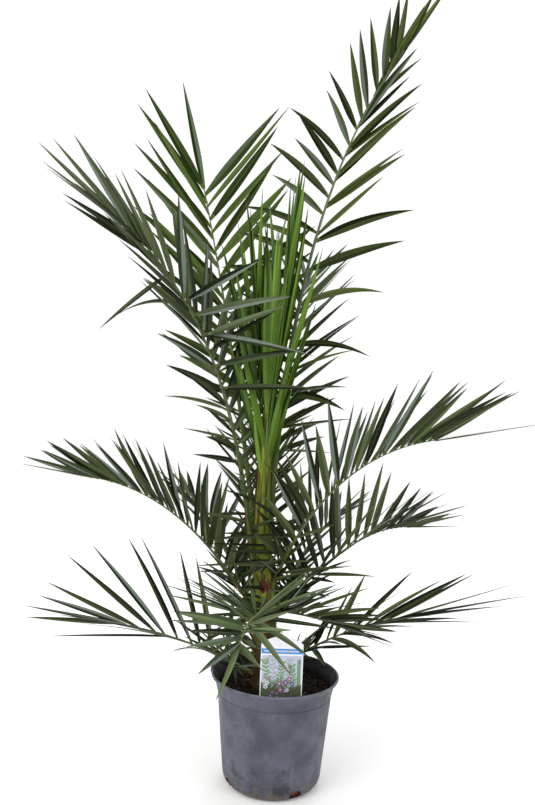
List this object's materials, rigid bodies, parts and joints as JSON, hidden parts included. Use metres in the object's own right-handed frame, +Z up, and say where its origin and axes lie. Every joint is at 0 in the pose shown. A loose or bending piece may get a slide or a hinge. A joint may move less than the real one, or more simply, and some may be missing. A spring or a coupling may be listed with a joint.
{
  "type": "potted date palm",
  "caption": "Young date palm with long feathery fronds rising from a short trunk in a round nursery pot with soil and a plain plant label.",
  "frame": {"origin": "centre of the flat underside of the pot, on the surface it stands on", "axes": "+Z up along the trunk, -Y to the front where the plant label faces, +X to the right seen from the front"},
  "size_m": [0.9262, 0.8051, 1.5738],
  "materials": {
    "pot_plastic": "satin",
    "soil": "matte",
    "label_card": "satin",
    "trunk": "matte",
    "leaf_base": "matte",
    "spear": "satin",
    "frond": "satin"
  },
  "bodies": {
    "root": {"pot": "pot_plastic", "soil": "soil", "plant_label": "label_card", "trunk": "trunk", "leaf_base_1": "leaf_base", "leaf_base_2": "leaf_base", "leaf_base_3": "leaf_base", "leaf_base_4": "leaf_base", "leaf_base_5": "leaf_base", "leaf_base_6": "leaf_base", "leaf_base_7": "leaf_base", "spear_leaves": "spear", "frond_tall_right": "frond", "frond_tall_left": "frond", "frond_tall_back": "frond", "frond_rear": "frond", "frond_mid_left": "frond", "frond_upper_mid_right": "frond", "frond_lower_mid_right": "frond", "frond_rear_left": "frond", "frond_rear_right": "frond", "frond_rear_middle": "frond", "frond_low_left": "frond", "frond_low_right": "frond", "frond_front_right": "frond", "frond_front": "frond"}
  },
  "joints": []
}
